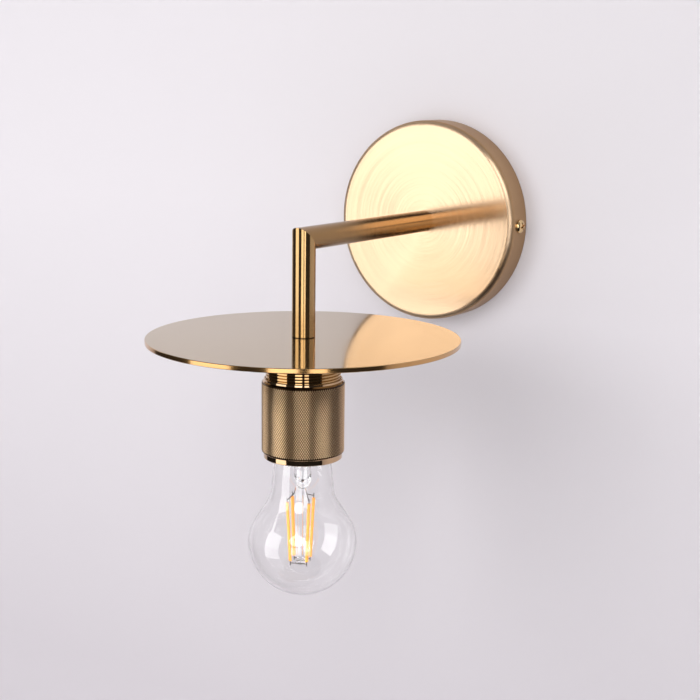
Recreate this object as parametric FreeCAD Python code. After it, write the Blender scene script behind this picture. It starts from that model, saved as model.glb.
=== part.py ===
"""Electric wall sconce: round wall plate, mitred arm, flat disc shade, knurled lampholder and screw-in bulb.

Millimetres. +Z is up, the wall is the plane Y = 0 and the room is on its -Y side. The origin is the centre
of the wall bracket on the wall, which is also the height of the arm's axis.
"""

import FreeCAD
import Part
import math
import os

V = FreeCAD.Vector
X_AXIS, Y_AXIS, Z_AXIS = V(1, 0, 0), V(0, 1, 0), V(0, 0, 1)
ORIGIN = V(0, 0, 0)

# ---- Driving dimensions --------------------------------------------------------------------------
# Wall plate
PLATE_R = 60.0
PLATE_DEPTH = 17.5
PLATE_WALL = 1.0
PLATE_EDGE_R = 3.3

# Arm and drop tube, one tube stock for both
REACH = 141.0            # wall to the axis of the drop tube
TUBE_R = 6.35
TUBE_BORE_R = 4.5
DISC_TOP = -53.0         # height of the disc's top face, below the arm's axis
THREAD_DEPTH = 14.0      # threaded length at the open end of each tube

# Disc shade
DISC_R = 85.0
DISC_THICK = 2.5
DISC_EDGE_BREAK = 0.25

# M10 x 1 lamp nipples, washers and nuts
NIPPLE_R = 4.95
NIPPLE_BORE_R = 3.75
THREAD_R = 5.0
CLEAR_R = 5.15
NUT_FLATS = 14.0
NUT_THICK = 3.5
LOCK_WASHER_R = 8.0
LOCK_WASHER_THICK = 0.8

# Lampholder: heights are measured along the lamp axis, in the part's own frame
BARREL_TOP = DISC_TOP - DISC_THICK
BARREL_R = 20.45
BARREL_BORE_R = 18.0
BARREL_END = -95.0
BARREL_TOP_THICK = 2.0
BARREL_PITCH = 1.6
GROOVE_DEPTH = 0.85
SLEEVE_R = 22.6
SLEEVE_BORE_R = 20.75
SLEEVE_TOP = -75.2
COLLAR_R = 21.4          # plain ring above the bevel
COLLAR_END = -76.4
KNURL_TOP = -77.4
KNURL_END = -116.3
NOSE_R = 21.55
NOSE_END = -119.7
MOUTH_R = 18.5
LIP_THICK = 2.1
CERAMIC_TOP = -78.0
CERAMIC_END = -117.3
CERAMIC_R = 17.8
CERAMIC_SKIRT_R = 19.15
CAVITY_R = 14.0
CAVITY_FLOOR = -91.0
SHELL_WALL = 0.45
SHELL_FLANGE_R = 10.5    # inner radius of the shell's flange
TONGUE_THICK = 0.45
TONGUE_HALF = 2.5
LINER_R = 20.3
LINER_WALL = 0.8

# Bulb, A60 with an E27 cap
GLOBE_R = 30.0
GLOBE_CENTRE = -167.8
SHOULDER_R = 22.0
SHOULDER_ANGLE = 33.0
CONCAVE_R = 23.0
NECK_ANGLE = 6.0
CONE_RUN = 10.4          # straight flank between shoulder and neck curve, along its slope
NECK_END = -120.6
GLASS_WALL = 0.7
GLASS_SEAT_R = 12.5      # glass inside the cap
GLASS_TOP = -112.0
CAP_R = 13.1
CAP_WALL = 0.35
CAP_TOP = -98.0
CAP_END = -118.6
CONTACT_R = 4.5
CONTACT_SEAT = -94.0
CONTACT_TOP = -92.9

# Bulb inside: the filaments hang on a mount that stands a little off the lamp axis
MOUNT_SHIFT = (-1.0, -0.6)
STEM_R = 4.6
STEM_WALL = 0.9
STEM_PINCH = -137.5
ROD_R = 1.6
ROD_END = -181.5
FILAMENTS = 4
FILAMENT_TOP = -144.7
FILAMENT_LENGTH = 33.8
FILAMENT_W = 1.8
FILAMENT_THICK = 1.3
FILAMENT_TOP_R = 8.6
FILAMENT_END_R = 6.6
FILAMENT_TURN = 68.0     # degrees the square of filaments is turned about the lamp axis
LEAD_R = 0.25
UPPER_HUB = -141.0
LOWER_HUB = -180.3
TAB_LENGTH = 2.4         # metal tab at each end of a filament
TAB_GAP = 0.27           # between a tab's wire and the end of its filament
LINK_OUT = 0.45          # how far along its tab each link wire crosses it
LINK_HUB_R = 3.5         # where the link wires of a pair meet, beside the rod's button

# Wall bracket
STRAP_HALF = 58.0
STRAP_WIDTH = 28.0
STRAP_THICK = 2.0
STRAP_BEND_R = 3.0
TAB_HEIGHT = 14.0
TAB_WIDTH = 18.0
TAB_NECK = 7.0           # length of the narrow end of the strap beside each bend
SLOT_X = 42.0
SLOT_R = 2.5
SLOT_LENGTH = 13.0
CABLE_HOLE_R = 8.0
SIDE_SCREW_DEPTH = 8.5   # distance of the two side screws from the wall
SIDE_SCREW_R = 1.95
SIDE_HEAD_R = 4.0
SIDE_HEAD_HEIGHT = 2.2
SIDE_SCREW_TURN = 20.0   # degrees the head's cross is turned from upright

# Terminal block on the bracket, two poles
BLOCK_X = 23.5
BLOCK_LENGTH = 17.0
BLOCK_HEIGHT = 11.5
POLE_Z = 7.0
POLE_WIDTH = 8.0
POLE_BARREL_R = 2.6
POLE_BORE_R = 1.5
POLE_AXIS_Y = -7.2
POLE_SCREW_STEP = 4.0    # each pole's two screws, either side of the block's middle
WEB_HEIGHT = 5.0
WEB_HALF = 5.0
BLOCK_SCREW_R = 1.5

# Wiring
WIRE_R = 1.0
WIRE_OFFSET = 1.3
ELBOW_WIRE_R = 9.0
EARTH_X = -20.0


# Earth bond
TAG_THICK = 0.8
ARM_WASHER_R = 10.0
ARM_WASHER_THICK = 1.5
ARM_TAG_REACH = 11.0     # centre of a tag's ring to the start of its crimp
STRAP_TAG_REACH = 6.5
EARTH_TAG_R = 4.2
EARTH_HOLE_R = 2.15
EARTH_SPACER_THICK = 1.6
CRIMP_R = 1.9
CRIMP_BORE_R = 1.1
CRIMP_LENGTH = 5.0
TAIL_HALF = 1.6

# Terminals and rivets of the lampholder
GRUB_HEIGHT = -84.0
GRUB_R = 1.45
POST_X = 9.5
POST_HALF = 3.0
POST_DEPTH = 2.6
POST_HEIGHT = 6.0
POST_SCREW_R = 1.2
POST_SCREW_DROP = 2.2    # below the post's top
LIVE_RIVET_X = -7.5
NEUTRAL_RIVET_X = 11.5
RIVET_R = 1.2

# Heights that follow from the ones above
ARM_WASHER_TOP = PLATE_DEPTH - PLATE_WALL
ARM_TAG_TOP = ARM_WASHER_TOP - ARM_WASHER_THICK
ARM_TAG_MIDDLE = ARM_TAG_TOP - TAG_THICK / 2
ARM_LOCK_TOP = ARM_TAG_TOP - TAG_THICK
ARM_NUT_TOP = ARM_LOCK_TOP - LOCK_WASHER_THICK
BLOCK_LOW_X = BLOCK_X - BLOCK_LENGTH / 2
HOLDER_WASHER_LOW = BARREL_TOP - BARREL_TOP_THICK - LOCK_WASHER_THICK
HOLDER_NUT_LOW = HOLDER_WASHER_LOW - NUT_THICK
NIPPLE_END = HOLDER_NUT_LOW - 1.7
POST_TOP = CERAMIC_TOP + POST_HEIGHT
BOTH_SIDES = (-1, 1)
DIAGONAL = math.sqrt(0.5)


# ---- Shared builders -----------------------------------------------------------------------------
def in_section(point):
    """The point (x, z) as a vector in the XZ plane."""
    return V(point[0], 0, point[1])


def outline_face(start, *steps):
    """Face in the XZ plane. A step is (x, z) for a line, or ((x, z) on the way, (x, z) end) for an arc."""
    edges = []
    here = start
    for step in steps:
        if isinstance(step[0], tuple):
            way, end = step
            edges.append(Part.Arc(in_section(here), in_section(way), in_section(end)).toShape())
        else:
            end = step
            edges.append(Part.LineSegment(in_section(here), in_section(end)).toShape())
        here = end
    if math.dist(here, start) > 1e-9:
        edges.append(Part.LineSegment(in_section(here), in_section(start)).toShape())
    return Part.Face(Part.Wire(edges))


def lathe(start, *steps):
    """Solid of revolution about Z from an outline in (radius, height)."""
    return outline_face(start, *steps).revolve(ORIGIN, Z_AXIS, 360)


def ring(outer, inner, low, high):
    """Plain ring about Z between two heights."""
    return lathe((inner, low), (outer, low), (outer, high), (inner, high))


def rod(radius, length, base, direction=Z_AXIS):
    return Part.makeCylinder(radius, length, base, direction)


def box(low, high):
    return Part.makeBox(high[0] - low[0], high[1] - low[1], high[2] - low[2], V(*low))


def to_wall(shape):
    """Turns a solid made about Z so that its +Z points out of the wall, along -Y."""
    turned = shape.copy()
    turned.rotate(ORIGIN, X_AXIS, 90)
    return turned


def to_lamp(shape):
    """Moves a solid made about Z onto the lamp's vertical axis."""
    moved = shape.copy()
    moved.translate(V(0, -REACH, 0))
    return moved


def hexagon(flats, thick, bore, low):
    """Hexagon nut about Z with chamfered corners."""
    corner = flats / math.sqrt(3)
    points = [V(corner * math.cos(math.radians(60 * i)), corner * math.sin(math.radians(60 * i)), low)
              for i in range(7)]
    blank = Part.Face(Part.makePolygon(points)).extrude(V(0, 0, thick))
    bevel = (corner - flats / 2) * 0.6
    round_off = lathe((0, low), (corner - bevel, low), (corner, low + bevel), (corner, low + thick - bevel),
                      (corner - bevel, low + thick), (0, low + thick))
    return blank.common(round_off).cut(rod(bore, thick + 2, V(0, 0, low - 1)))


def toothed_washer(outer, inner, low, thick, teeth=10):
    """Lock washer about Z with notches round its rim."""
    washer = ring(outer, inner, low, low + thick)
    notch_w, notch_d = 1.4, 1.6
    for i in range(teeth):
        notch = box((outer - notch_d, -notch_w / 2, low - 1), (outer + 1, notch_w / 2, low + thick + 1))
        notch.rotate(ORIGIN, Z_AXIS, 360 * i / teeth)
        washer = washer.cut(notch)
    return washer


def pan_screw(shank_r, shank_length, head_r, head_height, cross=True):
    """Pan-head screw about Z: the head's seat is at Z = 0 and its top at +Z, the shank runs to -Z."""
    edge = head_height * 0.35
    crown = lathe((0, 0), (head_r, 0), (head_r, edge),
                  ((head_r * 0.8, head_height * 0.8), (head_r * 0.42, head_height)), (0, head_height))
    screw = crown.fuse(rod(shank_r, shank_length, V(0, 0, -shank_length))).removeSplitter()
    slot_half = head_r * 0.62 if cross else head_r + 1
    slot_side, slot_floor = head_r * 0.12, head_height * 0.5
    recess = box((-slot_half, -slot_side, slot_floor), (slot_half, slot_side, head_height + 1))
    if cross:
        other = recess.copy()
        other.rotate(ORIGIN, Z_AXIS, 90)
        recess = recess.fuse(other)
    return screw.cut(recess)


def rounded_path(points, radii):
    """Wire of straight runs joined by tangent arcs. radii has one value for each inner point."""
    edges = []
    here = points[0]
    for i in range(1, len(points) - 1):
        corner = points[i]
        come, go = (corner - points[i - 1]).normalize(), (points[i + 1] - corner).normalize()
        half_turn = come.getAngle(go) / 2
        setback = radii[i - 1] * math.tan(half_turn)
        arc_start, arc_end = corner - come * setback, corner + go * setback
        inward = (go - come).normalize()
        middle = corner + inward * (radii[i - 1] / math.cos(half_turn) - radii[i - 1])
        if (arc_start - here).Length > 1e-6:
            edges.append(Part.LineSegment(here, arc_start).toShape())
        edges.append(Part.Arc(arc_start, middle, arc_end).toShape())
        here = arc_end
    edges.append(Part.LineSegment(here, points[-1]).toShape())
    return Part.Wire(edges)


def wire_along(points, radii, radius):
    """Round wire swept along a rounded path."""
    path = rounded_path(points, radii)
    start = points[0]
    profile = Part.Wire(Part.makeCircle(radius, start, points[1] - start))
    return path.makePipeShell([profile], True, False)


# ---- Wall side -----------------------------------------------------------------------------------
def side_hole(radius):
    """Drill that goes right across the plate and bracket on the side screws' axis."""
    return rod(radius, 2 * PLATE_R + 10, V(-PLATE_R - 5, -SIDE_SCREW_DEPTH, 0), X_AXIS)


def wall_plate():
    """Spun pan: flat face, rounded edge and rim, open at the wall."""
    wall, flat_r, rim_top = PLATE_WALL, PLATE_R - PLATE_EDGE_R, PLATE_DEPTH - PLATE_EDGE_R
    outer_bow = PLATE_EDGE_R * DIAGONAL
    inner_bow = (PLATE_EDGE_R - wall) * DIAGONAL
    pan = lathe((CLEAR_R, PLATE_DEPTH), (flat_r, PLATE_DEPTH),
                ((flat_r + outer_bow, rim_top + outer_bow), (PLATE_R, rim_top)),
                (PLATE_R, 0), (PLATE_R - wall, 0), (PLATE_R - wall, rim_top),
                ((flat_r + inner_bow, rim_top + inner_bow), (flat_r, PLATE_DEPTH - wall)),
                (CLEAR_R, PLATE_DEPTH - wall))
    return to_wall(pan).cut(side_hole(SIDE_SCREW_R + 0.25))


def wall_bracket():
    """Steel strap with both ends bent out of the wall, wall slots, cable hole and tapped holes."""
    half, thick, bend = STRAP_HALF, STRAP_THICK, STRAP_BEND_R
    inner = bend - thick
    outer_way, inner_way = bend * (1 - DIAGONAL), inner * (1 - DIAGONAL)
    section = outline_face(
        (-half + bend, 0), (half - bend, 0), ((half - outer_way, outer_way), (half, bend)),
        (half, TAB_HEIGHT), (half - thick, TAB_HEIGHT), (half - thick, bend),
        ((half - thick - inner_way, thick + inner_way), (half - bend, thick)),
        (-half + bend, thick), ((-half + thick + inner_way, thick + inner_way), (-half + thick, bend)),
        (-half + thick, TAB_HEIGHT), (-half, TAB_HEIGHT), (-half, bend),
        ((-half + outer_way, outer_way), (-half + bend, 0)))
    strap = section.extrude(V(0, STRAP_WIDTH, 0))
    strap.translate(V(0, -STRAP_WIDTH / 2, 0))
    for side in BOTH_SIDES:
        for edge in BOTH_SIDES:
            across = sorted((edge * TAB_WIDTH / 2, edge * STRAP_WIDTH))
            along = sorted((side * (half - TAB_NECK), side * (half + 1)))
            strap = strap.cut(box((along[0], across[0], -1), (along[1], across[1], TAB_HEIGHT + 1)))
    strap = to_wall(strap)
    through = thick + 2
    slot_run = SLOT_LENGTH / 2 - SLOT_R
    for side in BOTH_SIDES:
        slot = box((side * SLOT_X - slot_run, -through, -SLOT_R), (side * SLOT_X + slot_run, 1, SLOT_R))
        for end in BOTH_SIDES:
            slot = slot.fuse(rod(SLOT_R, through + 1, V(side * SLOT_X + end * slot_run, 1, 0), -Y_AXIS))
        strap = strap.cut(slot)
    holes = ((0, CABLE_HOLE_R), (BLOCK_X, BLOCK_SCREW_R + 0.1), (EARTH_X, EARTH_HOLE_R - 0.1))
    for hole_x, hole_r in holes:
        strap = strap.cut(rod(hole_r, through + 1, V(hole_x, 1, 0), -Y_AXIS))
    return strap.cut(side_hole(SIDE_SCREW_R + 0.05)).removeSplitter()


def side_screw(side):
    """Brass screw that holds the wall plate to one bent end of the bracket."""
    length = PLATE_R - STRAP_HALF + STRAP_THICK + 2.5
    screw = pan_screw(SIDE_SCREW_R, length, SIDE_HEAD_R, SIDE_HEAD_HEIGHT)
    screw.rotate(ORIGIN, Y_AXIS, 90)
    screw.rotate(ORIGIN, X_AXIS, SIDE_SCREW_TURN)
    screw.translate(V(PLATE_R, 0, 0))
    if side < 0:
        screw.rotate(ORIGIN, Z_AXIS, 180)
    screw.translate(V(0, -SIDE_SCREW_DEPTH, 0))
    return screw


def arm_nipple():
    return to_wall(ring(NIPPLE_R, NIPPLE_BORE_R, PLATE_DEPTH - 8.5, PLATE_DEPTH + THREAD_DEPTH - 1.5))


def arm_washer():
    return to_wall(ring(ARM_WASHER_R, CLEAR_R, ARM_TAG_TOP, ARM_WASHER_TOP))


def arm_lock_washer():
    return to_wall(toothed_washer(LOCK_WASHER_R, CLEAR_R, ARM_NUT_TOP, LOCK_WASHER_THICK))


def arm_nut():
    return to_wall(hexagon(NUT_FLATS, NUT_THICK, THREAD_R, ARM_NUT_TOP - NUT_THICK))


# ---- Earth bond ----------------------------------------------------------------------------------
def ring_tag(outer, hole, reach, low):
    """Ring tag about Z with a tail along +Y that ends in a crimp barrel."""
    tag = ring(outer, hole, low, low + TAG_THICK)
    tail = box((-TAIL_HALF, outer - 1.5, low), (TAIL_HALF, reach + 0.6, low + TAG_THICK))
    middle = low + TAG_THICK / 2
    crimp = rod(CRIMP_R, CRIMP_LENGTH, V(0, reach, middle), Y_AXIS)
    tag = tag.fuse(tail).fuse(crimp).removeSplitter()
    return tag.cut(rod(CRIMP_BORE_R, CRIMP_LENGTH - 1, V(0, reach + 1.1, middle), Y_AXIS))


def arm_earth_tag():
    """Earth tag clamped under the arm's nut; its tail points up."""
    return to_wall(ring_tag(LOCK_WASHER_R, CLEAR_R, ARM_TAG_REACH, ARM_LOCK_TOP))


def strap_earth_tag():
    """Earth tag under the bracket's earth screw; its tail points up."""
    low = STRAP_THICK + EARTH_SPACER_THICK
    tag = to_wall(ring_tag(EARTH_TAG_R, EARTH_HOLE_R, STRAP_TAG_REACH, low))
    tag.translate(V(EARTH_X, 0, 0))
    return tag


def earth_spacer():
    """Plain washer between the bracket and its earth tag, which gives the crimp room."""
    top = STRAP_THICK + EARTH_SPACER_THICK
    spacer = to_wall(ring(EARTH_TAG_R, EARTH_HOLE_R, STRAP_THICK, top))
    spacer.translate(V(EARTH_X, 0, 0))
    return spacer


def earth_screw():
    seat = STRAP_THICK + EARTH_SPACER_THICK + TAG_THICK
    screw = pan_screw(EARTH_HOLE_R - 0.2, seat, 3.6, 2.4)
    screw.translate(V(0, 0, seat))
    screw = to_wall(screw)
    screw.translate(V(EARTH_X, 0, 0))
    return screw


def earth_wire():
    """Bonding wire from the arm's tag to the bracket's tag."""
    low_tag = STRAP_THICK + EARTH_SPACER_THICK + TAG_THICK / 2
    points = [V(0, -ARM_TAG_MIDDLE, ARM_TAG_REACH + 2.0), V(0, -ARM_TAG_MIDDLE, 21.0),
              V(-7, -11.0, 26.0), V(-16.0, -6.5, 24.0),
              V(EARTH_X, -low_tag, 19.0), V(EARTH_X, -low_tag, STRAP_TAG_REACH + 2.0)]
    return wire_along(points, [3.5, 4.5, 5.0, 4.0], WIRE_R)


# ---- Terminal block ------------------------------------------------------------------------------
def clamp_place(side, step):
    """Where a clamping screw's axis crosses the axis of its pole."""
    return V(BLOCK_X + step * POLE_SCREW_STEP, POLE_AXIS_Y, side * POLE_Z)


def terminal_block():
    """Plastic body with two poles joined by a web that takes the fixing screw."""
    base = -STRAP_THICK
    body = box((BLOCK_X - WEB_HALF, base - WEB_HEIGHT, -POLE_Z), (BLOCK_X + WEB_HALF, base, POLE_Z))
    for side in BOTH_SIDES:
        low_z, high_z = side * POLE_Z - POLE_WIDTH / 2, side * POLE_Z + POLE_WIDTH / 2
        lobe = box((BLOCK_LOW_X, base - BLOCK_HEIGHT, low_z), (BLOCK_LOW_X + BLOCK_LENGTH, base, high_z))
        upright = [e for e in lobe.Edges if abs(e.tangentAt(e.FirstParameter).y) > 0.9]
        body = body.fuse(lobe.makeFillet(1.2, upright))
    body = body.removeSplitter()
    for side in BOTH_SIDES:
        start = V(BLOCK_LOW_X - 1, POLE_AXIS_Y, side * POLE_Z)
        body = body.cut(rod(POLE_BARREL_R, BLOCK_LENGTH + 2, start, X_AXIS))
        for step in BOTH_SIDES:
            body = body.cut(rod(1.9, BLOCK_HEIGHT, clamp_place(side, step), -Y_AXIS))
    return body.cut(rod(BLOCK_SCREW_R + 0.15, 20, V(BLOCK_X, 1, 0), -Y_AXIS))


def terminal_barrel(side):
    """Brass barrel of one pole, with its two tapped cross holes."""
    inset = 2.0
    start = V(BLOCK_LOW_X + inset, POLE_AXIS_Y, side * POLE_Z)
    length = BLOCK_LENGTH - 2 * inset
    barrel = rod(POLE_BARREL_R - 0.05, length, start, X_AXIS)
    barrel = barrel.cut(rod(POLE_BORE_R, length + 2, start - X_AXIS, X_AXIS))
    for step in BOTH_SIDES:
        barrel = barrel.cut(rod(1.3, 6, clamp_place(side, step), -Y_AXIS))
    return barrel


def terminal_screws():
    """The four clamping screws of the terminal block."""
    seat = -POLE_AXIS_Y + POLE_BARREL_R + 0.6
    screws = []
    for side in BOTH_SIDES:
        for step in BOTH_SIDES:
            screw = pan_screw(1.25, 1.9, 1.75, 1.5, cross=False)
            screw.rotate(ORIGIN, Z_AXIS, 35 * side * step)
            screw.translate(V(0, 0, seat))
            screw = to_wall(screw)
            place = clamp_place(side, step)
            screw.translate(V(place.x, 0, place.z))
            screws.append(screw)
    return Part.makeCompound(screws)


def block_screw():
    """Screw that fixes the terminal block to the bracket."""
    seat = STRAP_THICK + WEB_HEIGHT
    screw = pan_screw(BLOCK_SCREW_R, seat - 0.2, 2.7, 1.8)
    screw.translate(V(0, 0, seat))
    screw = to_wall(screw)
    screw.translate(V(BLOCK_X, 0, 0))
    return screw


# ---- Arm, drop tube and disc ---------------------------------------------------------------------
def mitre_cutter():
    """Half-space, as a large prism, on the outer side of the elbow's 45 degree plane."""
    size = 80.0
    corners = [V(0, -size, -size), V(0, size, -size), V(0, -size, size)]
    face = Part.Face(Part.makePolygon(corners + corners[:1]))
    prism = face.extrude(V(2 * size, 0, 0))
    prism.translate(V(-size, -REACH, 0))
    return prism


def arm_tube():
    """Horizontal tube from the wall plate to the mitred elbow."""
    length = REACH + TUBE_R + 1 - PLATE_DEPTH
    tube = rod(TUBE_R, length, V(0, -PLATE_DEPTH, 0), -Y_AXIS)
    tube = tube.cut(rod(TUBE_BORE_R, length + 2, V(0, -PLATE_DEPTH + 1, 0), -Y_AXIS))
    tube = tube.cut(rod(THREAD_R, THREAD_DEPTH + 1, V(0, -PLATE_DEPTH + 1, 0), -Y_AXIS))
    return tube.cut(mitre_cutter())


def drop_tube():
    """Vertical tube from the mitred elbow down to the disc."""
    length = TUBE_R + 1 - DISC_TOP
    tube = rod(TUBE_R, length, V(0, -REACH, DISC_TOP))
    tube = tube.cut(rod(TUBE_BORE_R, length + 2, V(0, -REACH, DISC_TOP - 1)))
    tube = tube.cut(rod(THREAD_R, THREAD_DEPTH + 1, V(0, -REACH, DISC_TOP - 1)))
    return tube.common(mitre_cutter())


def disc_shade():
    rim, low = DISC_R - DISC_EDGE_BREAK, DISC_TOP - DISC_THICK
    return to_lamp(lathe((CLEAR_R, low), (rim, low), (DISC_R, low + DISC_EDGE_BREAK),
                         (DISC_R, DISC_TOP - DISC_EDGE_BREAK), (rim, DISC_TOP), (CLEAR_R, DISC_TOP)))


# ---- Lampholder ----------------------------------------------------------------------------------
def drop_nipple():
    return to_lamp(ring(NIPPLE_R, NIPPLE_BORE_R, NIPPLE_END, DISC_TOP + THREAD_DEPTH - 1.5))


def threaded_barrel():
    """Lampholder barrel: closed top with the nipple hole, and ring grooves for its outside thread."""
    top, end, crest, root = BARREL_TOP, BARREL_END, BARREL_R, BARREL_R - GROOVE_DEPTH
    thread_top, floor = top - 3.0, top - BARREL_TOP_THICK
    land, edge = BARREL_PITCH * 0.14, 0.8
    outline = [(crest - edge, top), (crest, top - edge), (crest, thread_top)]
    turns = int((thread_top - end - 1.0) / BARREL_PITCH)
    for turn in range(turns):
        start = thread_top - turn * BARREL_PITCH
        next_start = start - BARREL_PITCH
        outline += [(crest, start - land), (root, (start + next_start) / 2), (crest, next_start + land)]
    outline += [(crest, end + 0.5), (crest - 0.5, end), (BARREL_BORE_R, end),
                (BARREL_BORE_R, floor), (CLEAR_R, floor)]
    barrel = lathe((CLEAR_R, top), *outline)
    tapped = rod(GRUB_R + 0.05, 2 * BARREL_R + 2, V(0, -BARREL_R - 1, GRUB_HEIGHT), Y_AXIS)
    return to_lamp(barrel.cut(tapped))


def holder_lock_washer():
    return to_lamp(toothed_washer(LOCK_WASHER_R, CLEAR_R, HOLDER_WASHER_LOW, LOCK_WASHER_THICK))


def holder_nut():
    return to_lamp(hexagon(NUT_FLATS, NUT_THICK, THREAD_R, HOLDER_NUT_LOW))


def ceramic_insert():
    """Porcelain body: stepped outside, open cavity for the bulb's cap, holes for the two rivets."""
    shoulder = BARREL_END - 0.2
    edge = 0.8
    body = lathe((0, CERAMIC_TOP), (CERAMIC_R - edge, CERAMIC_TOP), (CERAMIC_R, CERAMIC_TOP - edge),
                 (CERAMIC_R, shoulder), (CERAMIC_SKIRT_R, shoulder), (CERAMIC_SKIRT_R, CERAMIC_END + edge),
                 (CERAMIC_SKIRT_R - edge, CERAMIC_END), (CAVITY_R + edge, CERAMIC_END),
                 (CAVITY_R, CERAMIC_END + edge), (CAVITY_R, CAVITY_FLOOR), (0, CAVITY_FLOOR))
    for rivet_x in (LIVE_RIVET_X, NEUTRAL_RIVET_X):
        body = body.cut(rod(RIVET_R + 0.1, 20, V(rivet_x, 0, CAVITY_FLOOR - 1)))
    for side in BOTH_SIDES:
        body = body.cut(rod(GRUB_R + 0.05, 2.2, V(0, side * CERAMIC_R, GRUB_HEIGHT), V(0, -side, 0)))
    return to_lamp(body)


def insert_grub_screws():
    """Two grub screws that lock the porcelain in the barrel, under the sleeve."""
    screws = []
    tip, back = CERAMIC_R - 1.0, BARREL_R - GROOVE_DEPTH - 0.2
    for side in BOTH_SIDES:
        grub = rod(GRUB_R, back - tip, V(0, side * tip, GRUB_HEIGHT), V(0, side, 0))
        slot = box((-0.25, back - 0.7, GRUB_HEIGHT - 2), (0.25, back + 1, GRUB_HEIGHT + 2))
        if side < 0:
            slot.rotate(ORIGIN, Z_AXIS, 180)
        screws.append(grub.cut(slot))
    return to_lamp(Part.makeCompound(screws))


def terminal_post(side, rivet_x):
    """Brass post on top of the porcelain, in one piece with the rivet that goes down to its contact."""
    centre = side * POST_X
    low, high = (centre - POST_HALF, -POST_DEPTH, CERAMIC_TOP), (centre + POST_HALF, POST_DEPTH, POST_TOP)
    post = box(low, high).cut(rod(WIRE_R + 0.15, 4.2, V(centre, 0, POST_TOP - 4.0)))
    rivet = rod(RIVET_R, CERAMIC_TOP - CAVITY_FLOOR, V(rivet_x, 0, CAVITY_FLOOR))
    tapped = rod(POST_SCREW_R + 0.05, POST_HALF + 1, V(centre, 0, POST_TOP - POST_SCREW_DROP), V(side, 0, 0))
    return to_lamp(post.fuse(rivet).removeSplitter().cut(tapped))


def post_screws():
    """The two clamping screws of the lampholder's posts."""
    screws = []
    for side in BOTH_SIDES:
        screw = pan_screw(POST_SCREW_R, POST_HALF - WIRE_R - 0.2, 2.2, 1.5, cross=False)
        screw.rotate(ORIGIN, Y_AXIS, 90 * side)
        screw.translate(V(side * (POST_X + POST_HALF), 0, POST_TOP - POST_SCREW_DROP))
        screws.append(screw)
    return to_lamp(Part.makeCompound(screws))


def screw_shell():
    """Thin brass shell that takes the bulb's thread, with a flange on the cavity's floor."""
    outer, inner = CAVITY_R - 0.1, CAVITY_R - 0.1 - SHELL_WALL
    low, flange_low = CERAMIC_END + 2.3, CAVITY_FLOOR - SHELL_WALL
    return to_lamp(lathe((SHELL_FLANGE_R, CAVITY_FLOOR), (outer, CAVITY_FLOOR), (outer, low), (inner, low),
                         (inner, flange_low), (SHELL_FLANGE_R, flange_low)))


def contact_tongue():
    """Springy bronze strip from its rivet to the middle, where it presses on the bulb."""
    top, low = CAVITY_FLOOR, CAVITY_FLOOR - TONGUE_THICK
    tip = CONTACT_TOP + 0.08
    tip_top = tip + TONGUE_THICK
    strip = outline_face((-9.4, top), (-5.4, top), (-1.6, tip_top), (1.8, tip_top), (3.4, tip_top + 0.55),
                         (3.1, tip + 0.65), (1.6, tip), (-1.8, tip), (-5.6, low), (-9.4, low))
    strip = strip.extrude(V(0, 2 * TONGUE_HALF, 0))
    strip.translate(V(0, -TONGUE_HALF, 0))
    return to_lamp(strip)


def insulating_liner():
    """Fibre tube between the porcelain and the metal sleeve; it stands on the sleeve's lip."""
    return to_lamp(ring(LINER_R, LINER_R - LINER_WALL, NOSE_END + LIP_THICK + 0.1, BARREL_END - 0.6))


def knurled_sleeve():
    """Sleeve nut on the barrel's thread: plain collar, bevel, knurled band, plain nose and inward lip."""
    lip_top = NOSE_END + LIP_THICK
    edge = 0.3
    return to_lamp(lathe((COLLAR_R - edge, SLEEVE_TOP), (COLLAR_R, SLEEVE_TOP - edge), (COLLAR_R, COLLAR_END),
                         (SLEEVE_R, KNURL_TOP), (SLEEVE_R, KNURL_END),
                         (NOSE_R, KNURL_END - 0.7), (NOSE_R, NOSE_END + edge), (NOSE_R - edge, NOSE_END),
                         (MOUTH_R + edge, NOSE_END), (MOUTH_R, NOSE_END + edge), (MOUTH_R, lip_top),
                         (SLEEVE_BORE_R, lip_top), (SLEEVE_BORE_R, SLEEVE_TOP)))


# ---- Wiring through the arm ----------------------------------------------------------------------
def lamp_wire(side):
    """Insulated wire from a lampholder post, through nipple, tubes and elbow, to one pole of the block."""
    run_x = side * WIRE_OFFSET
    pole_z = -side * POLE_Z
    post = V(side * POST_X, -REACH, POST_TOP)
    turn_y = -5.9 if side > 0 else -3.9
    points = [post - Z_AXIS * 3.0, post + Z_AXIS * 3.2, V(run_x, -REACH, NIPPLE_END - 1.3),
              V(run_x, -REACH, 0), V(run_x, turn_y, 0), V(6.5, turn_y, pole_z / 2),
              V(11.5, POLE_AXIS_Y, pole_z), V(BLOCK_X - 3, POLE_AXIS_Y, pole_z)]
    return wire_along(points, [2.4, 2.4, ELBOW_WIRE_R, 2.2, 3.0, 3.2], WIRE_R)


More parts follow.
